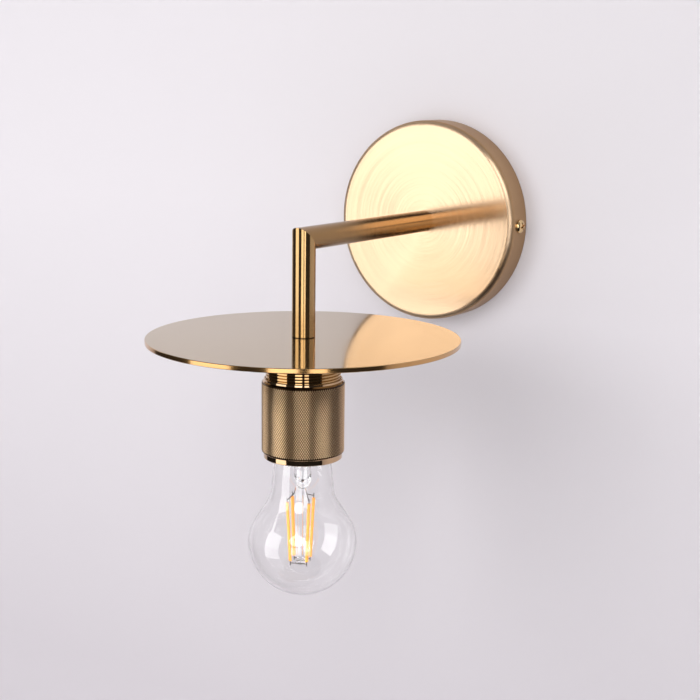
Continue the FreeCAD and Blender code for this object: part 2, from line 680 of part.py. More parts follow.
# ---- Bulb ----------------------------------------------------------------------------------------
def bulb_solid(inset):
    """Solid inside the bulb's skin, inset from it, from the globe's pole up to the seat in the cap."""
    globe, shoulder, hollow = GLOBE_R - inset, SHOULDER_R - inset, CONCAVE_R + inset
    steep, shallow = math.radians(SHOULDER_ANGLE), math.radians(NECK_ANGLE)

    def on_arc(centre, radius, angle):
        return centre[0] + radius * math.cos(angle), centre[1] + radius * math.sin(angle)

    globe_centre = (0, GLOBE_CENTRE)
    shoulder_centre = (GLOBE_R - SHOULDER_R, GLOBE_CENTRE)
    flank_low = on_arc(shoulder_centre, shoulder, steep)
    flank_high = (flank_low[0] - CONE_RUN * math.sin(steep), flank_low[1] + CONE_RUN * math.cos(steep))
    hollow_centre = on_arc(flank_high, hollow, steep)
    neck_low = on_arc(hollow_centre, hollow, math.pi + shallow)
    neck_top = NECK_END - inset
    neck_high = (neck_low[0] - (neck_top - neck_low[1]) * math.tan(shallow), neck_top)
    seat_r = GLASS_SEAT_R - inset
    return lathe((0, GLOBE_CENTRE - globe),
                 (on_arc(globe_centre, globe, -math.pi / 4), (globe, GLOBE_CENTRE)),
                 (on_arc(shoulder_centre, shoulder, steep / 2), flank_low), flank_high,
                 (on_arc(hollow_centre, hollow, math.pi + (steep + shallow) / 2), neck_low), neck_high,
                 ((neck_high[0] - 0.8, neck_high[1] + 1.3), (seat_r + 0.1, neck_high[1] + 1.9)),
                 (seat_r, GLASS_TOP), (0, GLASS_TOP))


def bulb_glass():
    inside = bulb_solid(GLASS_WALL)
    mouth = rod(GLASS_SEAT_R - GLASS_WALL, 4, V(0, 0, GLASS_TOP - 1))
    return to_lamp(bulb_solid(0).cut(inside).cut(mouth))


def bulb_cap():
    """Thin metal cap shell, narrowing to the insulator."""
    wall, rim = CAP_WALL, 11.4
    return to_lamp(lathe((rim, CAP_TOP), (12.0, CAP_TOP), (CAP_R, CAP_TOP - 1.2), (CAP_R, CAP_END),
                         (CAP_R - wall, CAP_END), (CAP_R - wall, CAP_TOP - 1.35),
                         (12.0 - wall / 2, CAP_TOP - wall), (rim, CAP_TOP - wall)))


def bulb_insulator():
    """Black glass cone between the cap shell and the centre contact."""
    return to_lamp(lathe((0, CONTACT_SEAT), (5.4, CONTACT_SEAT), (6.2, CONTACT_SEAT - 0.4), (11.35, CAP_TOP),
                         (11.35, CAP_TOP - 1.6), (0, CAP_TOP - 1.6)))


def bulb_contact():
    """Centre contact button."""
    base = CONTACT_SEAT + 0.1
    rise = CONTACT_TOP - base
    flat_r = CONTACT_R * 0.35
    return to_lamp(lathe((0, base), (CONTACT_R, base), (CONTACT_R, base + rise * 0.35),
                         ((CONTACT_R * 0.7, base + rise * 0.85), (flat_r, CONTACT_TOP)), (0, CONTACT_TOP)))


def bulb_driver():
    """Small driver board in the cap with its capacitor."""
    board = rod(10.6, 1.0, V(0, 0, -103.5))
    capacitor = rod(2.6, 6.5, V(3.5, 0, -110.0))
    coil = rod(2.2, 4.0, V(-4.5, 1.5, -107.5))
    return to_lamp(board.fuse(capacitor).fuse(coil).removeSplitter())


def to_mount(shape):
    """Moves a solid made about Z onto the bulb's filament mount."""
    moved = shape.copy()
    moved.translate(V(MOUNT_SHIFT[0], MOUNT_SHIFT[1] - REACH, 0))
    return moved


def bulb_stem():
    """Glass stem: flared foot in the neck, tube and rounded pinch."""
    foot, bore = GLASS_TOP - 0.5, STEM_R - STEM_WALL
    seat_r = GLASS_SEAT_R - GLASS_WALL
    low = STEM_PINCH
    outer_end = ((STEM_R * 0.86, low + 3.0), (STEM_R * 0.45, low))
    inner_end = ((bore * 0.75, low + 5.4), (bore, low + 9.0))
    return to_lamp(lathe((STEM_R, foot - 6.0), (STEM_R, low + 7.5), outer_end, (0, low),
                         (0, low + 3.4), inner_end, (bore, foot - 5.0),
                         (seat_r - 0.6, foot), (seat_r, foot), (seat_r, foot - 0.6)))


def mount_rod():
    """Glass rod under the stem with a thick button at its end, which carries the filaments' lower wires."""
    top = STEM_PINCH - 0.05
    button_r, button_top = ROD_R * 1.9, ROD_END + 3.4
    rounded = ((button_r * 0.95, ROD_END + 0.4), (button_r, ROD_END + 1.2))
    return to_mount(lathe((0, ROD_END), (button_r * 0.8, ROD_END), rounded,
                          (button_r, button_top - 1.0), (ROD_R, button_top), (ROD_R, top), (0, top)))


def filament_spot(index, radius):
    """Where a filament's centre line meets a circle of this radius about the mount."""
    angle = math.radians(FILAMENT_TURN + 360.0 * index / FILAMENTS)
    return radius * math.cos(angle), radius * math.sin(angle)


def filament_ends(index, extra=0.0):
    """Top and bottom points of a filament's centre line, each moved outwards along it by extra."""
    top = V(*filament_spot(index, FILAMENT_TOP_R), FILAMENT_TOP)
    end = V(*filament_spot(index, FILAMENT_END_R), FILAMENT_TOP - FILAMENT_LENGTH)
    along = (end - top).normalize()
    return top - along * extra, end + along * extra


def led_filament(index):
    """Phosphor-coated stick with rounded long edges."""
    top, end = filament_ends(index)
    half_w, half_t = FILAMENT_W / 2, FILAMENT_THICK / 2
    stick = box((-half_w, -half_t, 0), (half_w, half_t, (end - top).Length))
    long_edges = [e for e in stick.Edges if abs(e.tangentAt(e.FirstParameter).z) > 0.9]
    stick = stick.makeFillet(FILAMENT_THICK * 0.38, long_edges)
    stick.rotate(ORIGIN, Z_AXIS, FILAMENT_TURN + 360.0 * index / FILAMENTS + 90)
    turn = FreeCAD.Rotation(Z_AXIS, end - top)
    stick.Placement = FreeCAD.Placement(top, turn).multiply(stick.Placement)
    return to_mount(stick)


def linked_pair(pair, end_index, hub_height):
    """Tabs of two neighbouring filaments and the link wires from a point beside the rod to them."""
    tabs = []
    for i in pair:
        inner = filament_ends(i, TAB_GAP)[end_index]
        tip = filament_ends(i, TAB_GAP + TAB_LENGTH)[end_index]
        tabs.append((inner, tip))
    between = tabs[0][1] + tabs[1][1]
    hub = V(between.x, between.y, 0).normalize() * LINK_HUB_R + V(0, 0, hub_height)
    links = [(hub, inner + (tip - inner) * LINK_OUT) for inner, tip in tabs]
    return hub, tabs + links


def filament_leads():
    """Metal in the bulb: tabs on the filaments, links between them, and the two leads under the stem."""
    solids = []
    for pair in ((1, 2), (3, 0)):
        hub, wires = linked_pair(pair, 0, UPPER_HUB)
        lead_top = V(hub.x * 0.8, hub.y * 0.8, STEM_PINCH - 0.4)
        solids.append(join_wires([(lead_top, hub)] + wires))
    for pair in ((0, 1), (2, 3)):
        hub, wires = linked_pair(pair, 1, LOWER_HUB)
        solids.append(join_wires(wires))
    return to_mount(Part.makeCompound(solids))


def join_wires(wires):
    """One solid from straight bits of wire that meet or cross, with a bead where each bit starts."""
    joined = None
    for start, end in wires:
        bit = rod(LEAD_R, (end - start).Length, start, end - start)
        bit = bit.fuse(Part.makeSphere(LEAD_R * 1.02, start))
        joined = bit if joined is None else joined.fuse(bit)
    return joined


# ---- All sub-parts -------------------------------------------------------------------------------
def sub_parts():
    """Every sub-part by its node's name."""
    parts = {
        "wall_plate": wall_plate(),
        "wall_bracket": wall_bracket(),
        "side_screw_right": side_screw(1),
        "side_screw_left": side_screw(-1),
        "arm_nipple": arm_nipple(),
        "arm_washer": arm_washer(),
        "arm_earth_tag": arm_earth_tag(),
        "arm_lock_washer": arm_lock_washer(),
        "arm_nut": arm_nut(),
        "strap_earth_tag": strap_earth_tag(),
        "earth_spacer": earth_spacer(),
        "earth_screw": earth_screw(),
        "earth_wire": earth_wire(),
        "terminal_block": terminal_block(),
        "terminal_barrel_live": terminal_barrel(1),
        "terminal_barrel_neutral": terminal_barrel(-1),
        "terminal_screws": terminal_screws(),
        "block_screw": block_screw(),
        "arm_tube": arm_tube(),
        "drop_tube": drop_tube(),
        "disc_shade": disc_shade(),
        "drop_nipple": drop_nipple(),
        "holder_lock_washer": holder_lock_washer(),
        "holder_nut": holder_nut(),
        "threaded_barrel": threaded_barrel(),
        "ceramic_insert": ceramic_insert(),
        "insert_grub_screws": insert_grub_screws(),
        "live_post": terminal_post(-1, LIVE_RIVET_X),
        "neutral_post": terminal_post(1, NEUTRAL_RIVET_X),
        "post_screws": post_screws(),
        "screw_shell": screw_shell(),
        "contact_tongue": contact_tongue(),
        "live_wire": lamp_wire(-1),
        "neutral_wire": lamp_wire(1),
        "insulating_liner": insulating_liner(),
        "knurled_sleeve": knurled_sleeve(),
        "bulb_glass": bulb_glass(),
        "bulb_cap": bulb_cap(),
        "bulb_insulator": bulb_insulator(),
        "bulb_contact": bulb_contact(),
        "bulb_driver": bulb_driver(),
        "bulb_stem": bulb_stem(),
        "mount_rod": mount_rod(),
        "filament_leads": filament_leads(),
    }
    for i in range(FILAMENTS):
        parts[f"led_filament_{i + 1}"] = led_filament(i)
    return parts


def main():
    os.makedirs("parts", exist_ok=True)
    for name, shape in sub_parts().items():
        solids = len(shape.Solids)
        print(f"{name}: {solids} solid(s), valid {shape.isValid()}, {shape.Volume:.1f} mm3")
        shape.exportStep(f"parts/{name}.step")


main()
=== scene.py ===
import math

import bmesh
import bpy
from mathutils import Matrix, Vector


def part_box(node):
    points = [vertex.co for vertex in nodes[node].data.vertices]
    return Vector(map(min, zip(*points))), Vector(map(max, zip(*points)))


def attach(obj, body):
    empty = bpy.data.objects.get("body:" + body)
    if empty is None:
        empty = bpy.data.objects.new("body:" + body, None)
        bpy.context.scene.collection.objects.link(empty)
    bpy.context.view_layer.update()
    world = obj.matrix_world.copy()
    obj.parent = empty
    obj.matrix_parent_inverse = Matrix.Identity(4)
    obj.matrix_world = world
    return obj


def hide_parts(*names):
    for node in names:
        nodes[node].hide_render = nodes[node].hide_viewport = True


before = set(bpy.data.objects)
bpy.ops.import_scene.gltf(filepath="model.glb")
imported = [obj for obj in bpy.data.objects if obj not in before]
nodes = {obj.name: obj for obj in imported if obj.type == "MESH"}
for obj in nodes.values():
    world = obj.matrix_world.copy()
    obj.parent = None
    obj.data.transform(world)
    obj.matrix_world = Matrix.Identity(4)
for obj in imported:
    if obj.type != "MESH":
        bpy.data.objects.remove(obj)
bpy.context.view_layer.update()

# ---- Places and sizes, in metres -----------------------------------------------------------------
MM = 0.001
ORIGIN = (0.0, 0.0, 0.0)
LAMP = (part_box("disc_shade")[0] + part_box("disc_shade")[1]) / 2
LAMP_POINT = (LAMP.x, LAMP.y, 0.0)
ROD_POINT = (LAMP.x - 1.0 * MM, LAMP.y - 0.6 * MM, 0.0)
CREASE = 35

PLATE_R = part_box("wall_plate")[1].x
PLATE_RIM_R = PLATE_R - 0.9 * MM
PLATE_FLAT_R = PLATE_R - 3.1 * MM
DISC_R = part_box("disc_shade")[1].x
DISC_EDGE_R = DISC_R - 0.35 * MM
DISC_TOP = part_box("disc_shade")[1].z

BARREL_TOP, BARREL_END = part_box("threaded_barrel")[1].z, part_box("threaded_barrel")[0].z
BARREL_R = 20.45 * MM
BARREL_BORE_R = 18.0 * MM
BARREL_FLOOR = BARREL_TOP - 2.0 * MM
BARREL_CHAMFER = 0.5 * MM
BARREL_PITCH = 1.6 * MM
BARREL_THREAD_DEPTH = 0.6 * MM
BARREL_THREAD_TOP = BARREL_TOP - 2.2 * MM
BARREL_THREAD_END = BARREL_END + 0.6 * MM
BARREL_SIDES = 160
NIPPLE_HOLE_R = 5.15 * MM
GRUB_HOLE_R = 1.5 * MM
GRUB_HEIGHT = -84.0 * MM

SLEEVE_TOP, SLEEVE_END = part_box("knurled_sleeve")[1].z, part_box("knurled_sleeve")[0].z
SLEEVE_R = 22.6 * MM
SLEEVE_BORE_R = 20.75 * MM
SLEEVE_EDGE = 0.3 * MM
KNURL_TOP = SLEEVE_TOP - 2.2 * MM
KNURL_END = SLEEVE_END + 3.4 * MM
KNURL_RUNOUT = 0.25 * MM
KNURL_DEPTH = 0.24 * MM
KNURL_GROOVE_R = SLEEVE_R - KNURL_DEPTH
KNURL_COUNT = 112
KNURL_ROWS = 20
KNURL_LAND = 0.2
COLLAR_R = 21.4 * MM
COLLAR_END = SLEEVE_TOP - 1.2 * MM
NOSE_R = 21.55 * MM
NOSE_LOW_R = NOSE_R - 0.06 * MM
NOSE_LIP_R = NOSE_R + 0.25 * MM
MOUTH_R = 18.5 * MM
MOUTH_TOP = SLEEVE_END + 2.1 * MM

E27_PITCH = 25.4 / 7 * MM
E27_STEPS = 14
E27_SIDES = 96
CAP_TOP, CAP_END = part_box("bulb_cap")[1].z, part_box("bulb_cap")[0].z
CAP_R = 13.1 * MM
CAP_INNER_R = 11.95 * MM
CAP_SHOULDER_R = 12.0 * MM
CAP_HOLE_R = 11.4 * MM
CAP_THREAD_DEPTH = 0.85 * MM
CAP_THREAD_TOP = CAP_TOP - 2.6 * MM
CAP_THREAD_END = CAP_END + 3.2 * MM

SHELL_TOP, SHELL_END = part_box("screw_shell")[1].z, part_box("screw_shell")[0].z
SHELL_R = 13.9 * MM
SHELL_WALL = 0.45 * MM
SHELL_INNER_R = SHELL_R - SHELL_WALL
SHELL_FLANGE_R = 10.5 * MM
SHELL_FLANGE_END = SHELL_TOP - SHELL_WALL
SHELL_THREAD_DEPTH = 0.6 * MM
SHELL_THREAD_TOP = SHELL_FLANGE_END - 0.8 * MM
SHELL_THREAD_END = SHELL_END + 0.8 * MM

GLASS_TOP, GLASS_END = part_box("bulb_glass")[1].z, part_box("bulb_glass")[0].z
GLASS_WALL = 0.6 * MM
GLASS_SIDES = 160
GLOBE_R = 30.0 * MM
SHOULDER_R = 22.0 * MM
FLANK_LENGTH = 10.4 * MM
FLANK_SLOPE = 33
HOLLOW_R = 23.0 * MM
NECK_SLOPE = 6
NECK_END = CAP_END - 2.0 * MM
SEAT_R = CAP_INNER_R - 0.05 * MM


# ---- Mesh helpers --------------------------------------------------------------------------------
def ring(bm, r, z, count):
    """Circle of vertices about the lamp's axis, or one vertex where the radius is nothing."""
    if r < 1e-7:
        return [bm.verts.new((LAMP.x, LAMP.y, z))]
    turns = [2 * math.pi * i / count for i in range(count)]
    return [bm.verts.new((LAMP.x + r * math.cos(a), LAMP.y + r * math.sin(a), z)) for a in turns]


def bridge(bm, low, high):
    """Band of faces between two rings, either of which may be a single point."""
    count = max(len(low), len(high))
    for i in range(count):
        j = (i + 1) % count
        corners = [low[i % len(low)], low[j % len(low)], high[j % len(high)], high[i % len(high)]]
        bm.faces.new(list(dict.fromkeys(corners)))


def turned(bm, profile, count):
    """Surface turned about the lamp's axis from a profile of (radius, height) pairs."""
    rings = [ring(bm, r, z, count) for r, z in profile]
    for low, high in zip(rings, rings[1:]):
        bridge(bm, low, high)


def thread(bm, z_low, z_high, pitch, steps, count, radius_at):
    """Right-hand screw surface between two heights, fading out at both.

    radius_at gives the radius for a phase of the pitch and a fade, both from 0 to 1.
    """
    step = pitch / steps
    last = math.ceil((z_high - z_low) / step)
    grid = {}
    for i in range(count):
        angle = 2 * math.pi * i / count
        for k in range(-steps, last + 1):
            z = min(max(z_low + k * step + pitch * i / count, z_low), z_high)
            fade = min(1.0, (z - z_low) / (0.7 * pitch), (z_high - z) / (0.7 * pitch))
            r = radius_at((k % steps) / steps, fade)
            grid[i, k] = bm.verts.new((LAMP.x + r * math.cos(angle), LAMP.y + r * math.sin(angle), z))
    for i in range(count):
        wrap = steps if i == count - 1 else 0
        j = (i + 1) % count
        for k in range(-steps, last - wrap):
            bm.faces.new((grid[i, k], grid[j, k + wrap], grid[j, k + 1 + wrap], grid[i, k + 1]))


def knurl(bm, r_tip, r_groove, z_low, z_high, count, rows):
    """Band of diamond pyramids with small flat tips, between two heights."""
    half = (z_high - z_low) / rows / 2
    step = 2 * math.pi / count

    def spot(r, turn, level):
        angle = turn * step
        return LAMP.x + r * math.cos(angle), LAMP.y + r * math.sin(angle), z_low + level * half

    levels = 2 * rows
    valley = {(level, i): bm.verts.new(spot(r_groove, i + (level % 2) / 2, level))
              for level in range(levels + 1) for i in range(count)}
    corners = [(-KNURL_LAND, 0), (0, -2 * KNURL_LAND), (KNURL_LAND, 0), (0, 2 * KNURL_LAND)]
    for level in range(1, levels):
        for i in range(count):
            turn = i + (level % 2) / 2 + 0.5
            side = (i + level % 2) % count
            base = [valley[level, i], valley[level - 1, side], valley[level, (i + 1) % count],
                    valley[level + 1, side]]
            if level % 2 == 0:
                base[1] = valley[level - 1, i]
                base[3] = valley[level + 1, i]
            tip = [bm.verts.new(spot(r_tip, turn + dx, level + dz)) for dx, dz in corners]
            bm.faces.new(tip)
            for a in range(4):
                b = (a + 1) % 4
                bm.faces.new((base[a], base[b], tip[b], tip[a]))
    for level, near in ((0, 1), (levels, levels - 1)):
        for i in range(count):
            bm.faces.new((valley[level, i], valley[level, (i + 1) % count], valley[near, i]))


def new_object(name, bm):
    """Puts a finished bmesh in the scene as an object."""
    mesh = bpy.data.meshes.new(name)
    bm.to_mesh(mesh)
    bm.free()
    obj = bpy.data.objects.new(name, mesh)
    bpy.context.scene.collection.objects.link(obj)
    return obj


def piece(name, bm, body, stands_for, crease=CREASE):
    """Finishes a mesh as a named piece that rides on a body in place of a CAD node."""
    bmesh.ops.remove_doubles(bm, verts=bm.verts, dist=2e-6)
    bmesh.ops.dissolve_degenerate(bm, edges=bm.edges, dist=1e-6)
    bmesh.ops.recalc_face_normals(bm, faces=bm.faces)
    obj = new_object(name, bm)
    obj.data.shade_smooth()
    obj.data.set_sharp_from_angle(angle=math.radians(crease))
    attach(obj, body)
    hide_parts(stands_for)
    return obj


def drill(obj, radius, z, count=32):
    """Drills a piece right through along Y, at one height on the lamp's axis."""
    bm = bmesh.new()
    turns = [2 * math.pi * i / count for i in range(count)]
    reach = 30 * MM
    ends = [[bm.verts.new((LAMP.x + radius * math.cos(a), LAMP.y + side * reach, z + radius * math.sin(a)))
             for a in turns] for side in (-1, 1)]
    bridge(bm, *ends)
    for end in ends:
        bm.faces.new(end)
    bmesh.ops.recalc_face_normals(bm, faces=bm.faces)
    cutter = new_object("drill", bm)
    modifier = obj.modifiers.new("drill", "BOOLEAN")
    modifier.object = cutter
    modifier.operation = "DIFFERENCE"
    modifier.solver = "EXACT"
    cut = bpy.data.meshes.new_from_object(obj.evaluated_get(bpy.context.evaluated_depsgraph_get()))
    obj.modifiers.clear()
    obj.data = cut
    cut.set_sharp_from_angle(angle=math.radians(CREASE))
    leftover = cutter.data
    bpy.data.objects.remove(cutter)
    bpy.data.meshes.remove(leftover)


# ---- Lampholder pieces ---------------------------------------------------------------------------
def make_barrel():
    """Threaded barrel with its bore, its nipple hole and the two grub screws' holes."""
    def radius_at(phase, fade):
        across = (phase - 0.5) / 0.5
        groove = 1 - abs(2 * across - 1) if across > 0 else 0
        return BARREL_R - BARREL_THREAD_DEPTH * groove * fade

    bm = bmesh.new()
    thread(bm, BARREL_THREAD_END, BARREL_THREAD_TOP, BARREL_PITCH, 12, BARREL_SIDES, radius_at)
    turned(bm, [(BARREL_R, BARREL_THREAD_TOP), (BARREL_R, BARREL_TOP - BARREL_CHAMFER),
                (BARREL_R - BARREL_CHAMFER, BARREL_TOP), (NIPPLE_HOLE_R, BARREL_TOP),
                (NIPPLE_HOLE_R, BARREL_FLOOR), (BARREL_BORE_R, BARREL_FLOOR), (BARREL_BORE_R, BARREL_END),
                (BARREL_R - BARREL_CHAMFER, BARREL_END), (BARREL_R, BARREL_THREAD_END)], BARREL_SIDES)
    barrel = piece("barrel_thread", bm, "fixture", "threaded_barrel")
    drill(barrel, GRUB_HOLE_R, GRUB_HEIGHT)
    return barrel


def make_sleeve():
    """Knurled sleeve with a plain collar above the knurl and a plain nose below it."""
    bm = bmesh.new()
    low, high = KNURL_END + KNURL_RUNOUT, KNURL_TOP - KNURL_RUNOUT
    knurl(bm, SLEEVE_R, KNURL_GROOVE_R, low, high, KNURL_COUNT, KNURL_ROWS)
    turned(bm, [(KNURL_GROOVE_R, high), (SLEEVE_R - 0.15 * MM, KNURL_TOP), (COLLAR_R, COLLAR_END),
                (COLLAR_R, SLEEVE_TOP - SLEEVE_EDGE), (COLLAR_R - SLEEVE_EDGE, SLEEVE_TOP),
                (SLEEVE_BORE_R, SLEEVE_TOP), (SLEEVE_BORE_R, MOUTH_TOP), (MOUTH_R, MOUTH_TOP),
                (MOUTH_R, SLEEVE_END + SLEEVE_EDGE), (MOUTH_R + SLEEVE_EDGE, SLEEVE_END),
                (NOSE_LOW_R - SLEEVE_EDGE, SLEEVE_END), (NOSE_LOW_R, SLEEVE_END + SLEEVE_EDGE),
                (NOSE_R, KNURL_END - 0.5 * MM), (NOSE_LIP_R, KNURL_END - 0.1 * MM),
                (KNURL_GROOVE_R, low)], KNURL_COUNT)
    return piece("sleeve_knurl", bm, "sleeve", "knurled_sleeve", crease=28)


def e27_thread(bm, z_low, z_high, crest_r, depth, lead=0.0):
    """Rounded E27 screw surface; lead is the share of a pitch by which it starts late."""
    def radius_at(phase, fade):
        return crest_r - depth * (0.5 + 0.5 * math.cos(2 * math.pi * (phase + lead))) * fade

    thread(bm, z_low, z_high, E27_PITCH, E27_STEPS, E27_SIDES, radius_at)


def make_cap():
    """The bulb's screw cap, open at its mouth for the glass and at its top for the contact."""
    bm = bmesh.new()
    e27_thread(bm, CAP_THREAD_END, CAP_THREAD_TOP, CAP_R, CAP_THREAD_DEPTH)
    turned(bm, [(CAP_R, CAP_THREAD_TOP), (CAP_R - 0.1 * MM, CAP_TOP - 1.5 * MM),
                (CAP_R - 0.5 * MM, CAP_TOP - 0.6 * MM), (CAP_SHOULDER_R, CAP_TOP), (CAP_HOLE_R, CAP_TOP),
                (CAP_HOLE_R, CAP_TOP - 0.35 * MM), (CAP_INNER_R, CAP_TOP - 0.8 * MM),
                (CAP_INNER_R, CAP_END + 1.5 * MM), (CAP_R - 0.35 * MM, CAP_END), (CAP_R, CAP_END),
                (CAP_R, CAP_THREAD_END)], E27_SIDES)
    return piece("bulb_screw_cap", bm, "bulb", "bulb_cap")


def make_shell():
    """The lampholder's screw shell, whose thread is in step with the cap's."""
    bm = bmesh.new()
    lead = (SHELL_THREAD_END - CAP_THREAD_END) / E27_PITCH
    for crest_r in (SHELL_R, SHELL_INNER_R):
        e27_thread(bm, SHELL_THREAD_END, SHELL_THREAD_TOP, crest_r, SHELL_THREAD_DEPTH, lead)
    turned(bm, [(SHELL_R, SHELL_THREAD_TOP), (SHELL_R, SHELL_TOP), (SHELL_FLANGE_R, SHELL_TOP),
                (SHELL_FLANGE_R, SHELL_FLANGE_END), (SHELL_INNER_R, SHELL_FLANGE_END),
                (SHELL_INNER_R, SHELL_THREAD_TOP)], E27_SIDES)
    turned(bm, [(SHELL_R, SHELL_THREAD_END), (SHELL_R, SHELL_END), (SHELL_INNER_R, SHELL_END),
                (SHELL_INNER_R, SHELL_THREAD_END)], E27_SIDES)
    return piece("screw_shell_thread", bm, "fixture", "screw_shell")


# ---- Bulb glass ----------------------------------------------------------------------------------
def arc(centre, radius, start, end, steps):
    """Points on an arc between two angles in degrees."""
    angles = [math.radians(start + (end - start) * i / steps) for i in range(steps + 1)]
    return [(centre[0] + radius * math.cos(a), centre[1] + radius * math.sin(a)) for a in angles]


def glass_profile(inset):
    """Half outline of the A60 envelope from the globe's pole up to the seat in the cap."""
    globe_z = GLASS_END + GLOBE_R
    globe = arc((0, globe_z), GLOBE_R - inset, -90, 0, 26)
    globe[0] = (0, globe[0][1])
    shoulder = arc((GLOBE_R - SHOULDER_R, globe_z), SHOULDER_R - inset, 0, FLANK_SLOPE, 10)
    flank = shoulder[-1]
    slope = math.radians(FLANK_SLOPE)
    high = (flank[0] - FLANK_LENGTH * math.sin(slope), flank[1] + FLANK_LENGTH * math.cos(slope))
    hollow_r = HOLLOW_R + inset
    hollow_centre = (high[0] + hollow_r * math.cos(slope), high[1] + hollow_r * math.sin(slope))
    hollow = arc(hollow_centre, hollow_r, 180 + FLANK_SLOPE, 180 + NECK_SLOPE, 10)
    low = hollow[-1]
    neck_z = NECK_END - inset
    neck_r = low[0] - (neck_z - low[1]) * math.tan(math.radians(NECK_SLOPE))
    middle = ((low[0] + neck_r) / 2, (low[1] + neck_z) / 2)
    seat_r = SEAT_R - inset
    fold = [(neck_r, neck_z), (neck_r - 0.25 * MM, neck_z + 0.6 * MM),
            (neck_r - 0.9 * MM, neck_z + 1.15 * MM), (CAP_R - inset, neck_z + 1.75 * MM),
            (seat_r + 0.3 * MM, neck_z + 2.3 * MM), (seat_r, neck_z + 3.4 * MM)]
    return globe + shoulder[1:] + [high] + hollow[1:] + [middle] + fold + [(seat_r, GLASS_TOP)]


def make_glass():
    """The bulb's clear envelope, with an outer and an inner wall."""
    bm = bmesh.new()
    turned(bm, glass_profile(0) + glass_profile(GLASS_WALL)[::-1], GLASS_SIDES)
    return piece("bulb_envelope", bm, "bulb", "bulb_glass", crease=50)


# ---- Materials -----------------------------------------------------------------------------------
# Most of a noise texture's values lie between these two.
NOISE_LOW, NOISE_HIGH = 0.3, 0.7
# The width over which a look changes at a radius.
FADE = 0.3 * MM


